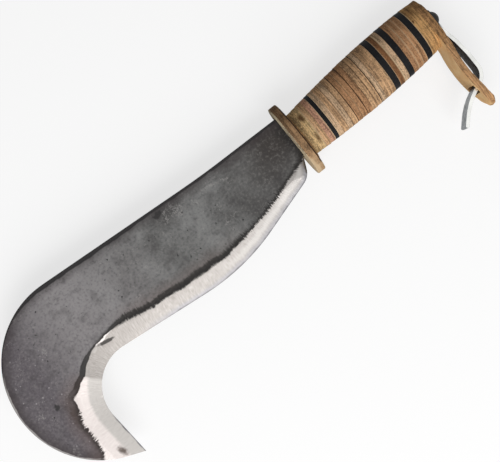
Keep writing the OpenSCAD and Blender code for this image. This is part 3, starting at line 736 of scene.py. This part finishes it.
holes = ((SLOT[0], SLOT[1], SLOT_HALF), (-NECK_HOLE, NECK_HOLE, NECK_HOLE))
bpy.context.tool_settings.mesh_select_mode = (False, False, True)
for face in strap.data.polygons:
    s, w = face.center.x / MM, abs(face.center.y / MM)
    face.select = any(low < s < high and w < half for low, high, half in holes)
bpy.ops.object.mode_set(mode="EDIT")
bpy.ops.mesh.delete(type="FACE")
bpy.ops.mesh.select_all(action="SELECT")
bpy.ops.mesh.remove_doubles(threshold=0.01 * MM)
bpy.ops.object.mode_set(mode="OBJECT")
thick = strap.modifiers.new("hide", "SOLIDIFY")
thick.thickness, thick.offset = STRAP_T * MM, 0
soft = strap.modifiers.new("rubbed_edge", "BEVEL")
soft.width, soft.segments = STRAP_ROUND * MM, 3
soft.limit_method, soft.angle_limit = "ANGLE", math.radians(50)
for modifier in list(strap.modifiers):
    bpy.ops.object.modifier_apply(modifier=modifier.name)
flat = [point.co / MM for point in strap.data.vertices]
cut_sides = [
    0 if abs(face.normal.z) > 0.5 else 2 if face.center.x < WASHER_END * MM else 1
    for face in strap.data.polygons]
# The flat strap is bent along its middle line. The hook presses into it, and its tip is worn thin and lumpy.
ways = np.radians([heading(s) for s in np.arange(0, strap_end + 2, STEP)])
line = np.cumsum(np.stack([np.cos(ways), np.sin(ways)], 1) * STEP, axis=0) + CLAMPED
upward = -Vector((math.cos(ways[0]), math.sin(ways[0])))
borders = []
for point, p in zip(strap.data.vertices, flat):
    at_slot = SLOT[0] - SLOT_ROOM < p.x < SLOT[1] + SLOT_ROOM and abs(p.y) < SLOT_HALF + SLOT_ROOM
    k = max(0, int((p.x - SLOT_SLANT * p.z * at_slot) / STEP))
    base = Vector(line[k]) + upward * max(0, -p.x)
    across = Vector((-math.sin(ways[k]), math.cos(ways[k])))
    t = p.z * (1 - TIP_WORN * ease(strap_end - TIP_THIN, strap_end, p.x))
    if p.z > 0:
        t += PRESSED * ease(HOOK_HALF, PRESSED_HALF, abs(p.y)) * ease(PRESSED_END, PRESSED_LOW, p.x)
    lumps = LUMP * ease(*LUMPED, p.x) * noise.noise(p / LUMP_SIZE)
    point.co = Vector((*(base + across * (t + lumps)), p.y + lumps)) * MM
    burnished = 0.2 < STRAP_T / 2 - abs(p.z) < 0.7 and BURNISHED[0] < p.x < BURNISHED[1]
    frayed = 0.9 * ease(*FRAYED, p.x) * max(0, noise.noise(p / FRAY_SIZE))
    borders.append(max(frayed, 0.75 if burnished else 0))
give(strap, "seam", borders)
bpy.ops.object.mode_set(mode="EDIT")
bpy.ops.mesh.select_all(action="SELECT")
bpy.ops.mesh.normals_make_consistent(inside=False)
bpy.ops.object.mode_set(mode="OBJECT")
settle(strap, 40)

# Belt leather, dyed through and rubbed smooth: an even tan with faint pores and a soft low gloss. The pores
# are drawn 0.9 mm wide, coarser than real ones, so that they show.
smooth_hide, shader = finish_named("smooth_belt_leather")
place = add(smooth_hide, "TexCoord", out="Object")
tint = add(smooth_hide, "TexNoise", {"Vector": place, "Scale": 1 / (10 * MM), "Detail": 3})
pores = add(smooth_hide, "TexNoise", {
    "Vector": place, "Scale": 1 / (0.9 * MM), "Detail": 3, "Roughness": 0.7})
tone = add(smooth_hide, "MapRange", {0: tint, 1: 0.4, 2: 0.62})
tone = add(smooth_hide, "Mix", {0: tone, 6: paint("#e2b37a"), 7: paint("#ecc68f")}, out=2, data_type="RGBA")
specks = add(smooth_hide, "MapRange", {0: pores, 1: 0.44, 2: 0.3, 4: 0.45})
tone = add(smooth_hide, "Mix", {0: specks, 6: tone, 7: paint("#96703f")}, out=2, data_type="RGBA")
seam = add(smooth_hide, "Attribute", out="Fac", attribute_name="seam")
darkening = add(smooth_hide, "MapRange", {0: seam, 1: 0.05, 2: 0.6})
tone = add(smooth_hide, "Mix", {0: darkening, 6: tone, 7: paint("#6d4422")}, out=2, data_type="RGBA")
bump = add(smooth_hide, "Bump", {"Height": pores, "Strength": 0.35, "Distance": 0.08 * MM})
gloss = add(smooth_hide, "MapRange", {0: pores, 3: 0.55, 4: 0.75})
shader.inputs["Specular IOR Level"].default_value = 0.25
for socket, value in (("Base Color", tone), ("Roughness", gloss), ("Normal", bump)):
    smooth_hide.node_tree.links.new(value, shader.inputs[socket])
strap.data.materials.append(smooth_hide)
strap.data.materials.append(
    cut_leather("cut_belt_leather", "#b98f66", layer=0.9, patch=5, fibre=0.4, blots=WARM_BLOTS))
strap.data.materials.append(cut_leather("cut_washer_leather", "#9c7650", layer=0.8, patch=4, stain=0.6))
strap.data.polygons.foreach_set("material_index", cut_sides)
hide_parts("end_washer", "tongue")
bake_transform(strap)

# Belt hook: a strip of mild steel, sheared to length and bent cold, with its corners knocked off. Its sheared
# edges are painted bright as lit and its wide faces dark as shaded. It sits on the butt under the peened
# tang, stands off the grip and ends in a leg that passes the tongue.
HOOK_ROUND = 0.4
LEG_ROUND = 1.0
LEG_END = 92
HEAD_SHADE = (-10.5, -5.5)
GAP_SHADE_X, GAP_SHADE_Y = 116, (-52, -9)
SHEARED = 0.95
hook = copy_of("belt_hook", "bent_belt_hook")
round_edges(hook, LEG_ROUND, 3, lambda at, a, b: (
    at.x < LEG_END and max(abs(a.z), abs(b.z)) < 0.3 and a.dot(b) < 0.5))
round_edges(hook, HOOK_ROUND, 2, lambda at, a, b: (
    max(abs(a.z), abs(b.z)) > SHEARED and min(abs(a.z), abs(b.z)) < 0.5))
settle(hook, 30)


def strip_steel(name, dark, light, metallic, smooth, dull, shade):
    """Cold-rolled steel strip, with rolling lines along its length and dull scuffs. The lines are finer than
    the render shows, so they are drawn 0.4 mm apart. Round the tang's head the steel is painted dark as the
    head's shade, by the share shade."""
    strip, shader = finish_named(name)
    place = add(strip, "TexCoord", out="Object")
    drawn = add(strip, "Mapping", {"Vector": place, "Scale": [1 / (k * MM) for k in (14, 14, 0.4)]})
    rolled = add(strip, "TexNoise", {"Vector": drawn, "Scale": 1, "Detail": 2})
    scuffs = add(strip, "TexNoise", {"Vector": place, "Scale": 1 / (2.5 * MM), "Detail": 4, "Roughness": 0.7})
    tone = add(strip, "MapRange", {0: rolled, 1: 0.35, 2: 0.65})
    tone = add(strip, "Mix", {0: tone, 6: paint(dark), 7: paint(light)}, out=2, data_type="RGBA")
    dim = add(strip, "MapRange", {0: scuffs, 1: 0.56, 2: 0.68, 4: 0.7})
    tone = add(strip, "Mix", {0: dim, 6: tone, 7: paint(dark)}, out=2, data_type="RGBA")
    # Painted shade under the tang's head
    near_head = add(strip, "SeparateXYZ", {0: place}, out=1)
    near_head = add(strip, "MapRange", {
        0: near_head, 1: HEAD_SHADE[0] * MM, 2: HEAD_SHADE[1] * MM, 4: shade})
    tone = add(strip, "Mix", {0: near_head, 6: tone, 7: paint("#17120e")}, out=2, data_type="RGBA")
    polish = add(strip, "MapRange", {0: scuffs, 1: 0.35, 2: 0.65, 3: smooth, 4: dull})
    bump = add(strip, "Bump", {"Height": rolled, "Strength": 0.25, "Distance": 0.04 * MM})
    shader.inputs["Metallic"].default_value = metallic
    for socket, value in (("Base Color", tone), ("Roughness", polish), ("Normal", bump)):
        strip.node_tree.links.new(value, shader.inputs[socket])
    return strip


# The wide faces are painted dark as shaded steel and the sheared edges bright as lit steel
hook.data.materials.append(strip_steel("rolled_steel_face_shaded", "#4c5153", "#747a7d", 1, 0.28, 0.5, 0.45))
hook.data.materials.append(strip_steel("sheared_steel_edge_lit", "#d8d8d5", "#f2f2ee", 1, 0.25, 0.4, 0.97))
# The side that faces the tongue is painted brown-black as the shade in the gap between strip and tongue
hook.data.materials.append(strip_steel("gap_shade_steel", "#17110b", "#33271a", 0.3, 0.5, 0.7, 0.5))
finishes = []
for face in hook.data.polygons:
    at = face.center / MM
    inward = face.normal.x < -0.2 and abs(face.normal.z) < 0.3
    in_gap_shade = inward and GAP_SHADE_Y[0] < at.y < GAP_SHADE_Y[1] and at.x > GAP_SHADE_X
    finishes.append(2 if in_gap_shade else 1 if abs(face.normal.z) > SHEARED else 0)
hook.data.polygons.foreach_set("material_index", finishes)
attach(hook, "tool")

# Studio: a sheet of white paper under the tool, one large soft lamp over its cutting edge, and even light
# from all round. The camera and reflections see both paper and surroundings as white. Sizes are in metres.
FLOOR_SIZE, FLOOR_GAP = 6, 0.0003
PAPER_GLOW = 0.7
FILL_LIGHT, WHITE = 0.24, 1.0
LAMP_SIZE, LAMP_POWER = 1.5, 24
LAMP_AT = Vector((-0.55, -1.05, 0.95))
LAMP_AIM = Vector((-0.06, -0.02, 0))
bpy.ops.object.select_all(action="DESELECT")
bpy.ops.mesh.primitive_plane_add(size=FLOOR_SIZE, location=(0, 0, cad_low.z - FLOOR_GAP))
floor = bpy.context.object
floor.name = "studio_floor"
paper, shader = finish_named("white_paper")
seen = add(paper, "LightPath", out="Is Camera Ray")
mirrored = add(paper, "LightPath", out="Is Glossy Ray")
lit = add(paper, "Math", {0: seen, 1: mirrored}, operation="MAXIMUM")
shader.inputs["Base Color"].default_value = paint("#9c9c9c")
shader.inputs["Roughness"].default_value = 0.9
shader.inputs["Specular IOR Level"].default_value = 0.0
shader.inputs["Emission Color"].default_value = paint("#ffffff")
glow = add(paper, "Math", {0: lit, 1: PAPER_GLOW}, operation="MULTIPLY")
paper.node_tree.links.new(glow, shader.inputs["Emission Strength"])
floor.data.materials.append(paper)
world = bpy.data.worlds.new("soft_studio")
bpy.context.scene.world = world
world.use_nodes = True
sky = world.node_tree.nodes["Background"]
seen = add(world, "LightPath", out="Is Camera Ray")
mirrored = add(world, "LightPath", out="Is Glossy Ray")
lit = add(world, "Math", {0: seen, 1: mirrored}, operation="MAXIMUM")
sky.inputs["Color"].default_value = paint("#ffffff")
glow = add(world, "MapRange", {0: lit, 3: FILL_LIGHT, 4: WHITE})
world.node_tree.links.new(glow, sky.inputs["Strength"])
lamp = bpy.data.lights.new("softbox", "AREA")
lamp.shape, lamp.size, lamp.energy = "SQUARE", LAMP_SIZE, LAMP_POWER
softbox = bpy.data.objects.new("softbox", lamp)
bpy.context.scene.collection.objects.link(softbox)
softbox.location = LAMP_AT
softbox.rotation_euler = (LAMP_AIM - LAMP_AT).to_track_quat("-Z", "Y").to_euler()
softbox.visible_camera = False

# Camera: straight over the tool, turned so that the grip points to the upper right. Its place is in mm and
# its turn in degrees.
LENS, SENSOR = 76.5, 36
CAMERA_AT = (-60.2, -24.8, 700)
CAMERA_TURN = -41.635
lens = bpy.data.cameras.new("camera")
lens.lens, lens.sensor_width, lens.sensor_fit = LENS, SENSOR, "HORIZONTAL"
camera = bpy.data.objects.new("camera", lens)
bpy.context.scene.collection.objects.link(camera)
camera.location = [place * MM for place in CAMERA_AT]
camera.rotation_euler = (0, 0, math.radians(CAMERA_TURN))
bpy.context.scene.camera = camera
bpy.context.scene.view_settings.view_transform = "Standard"
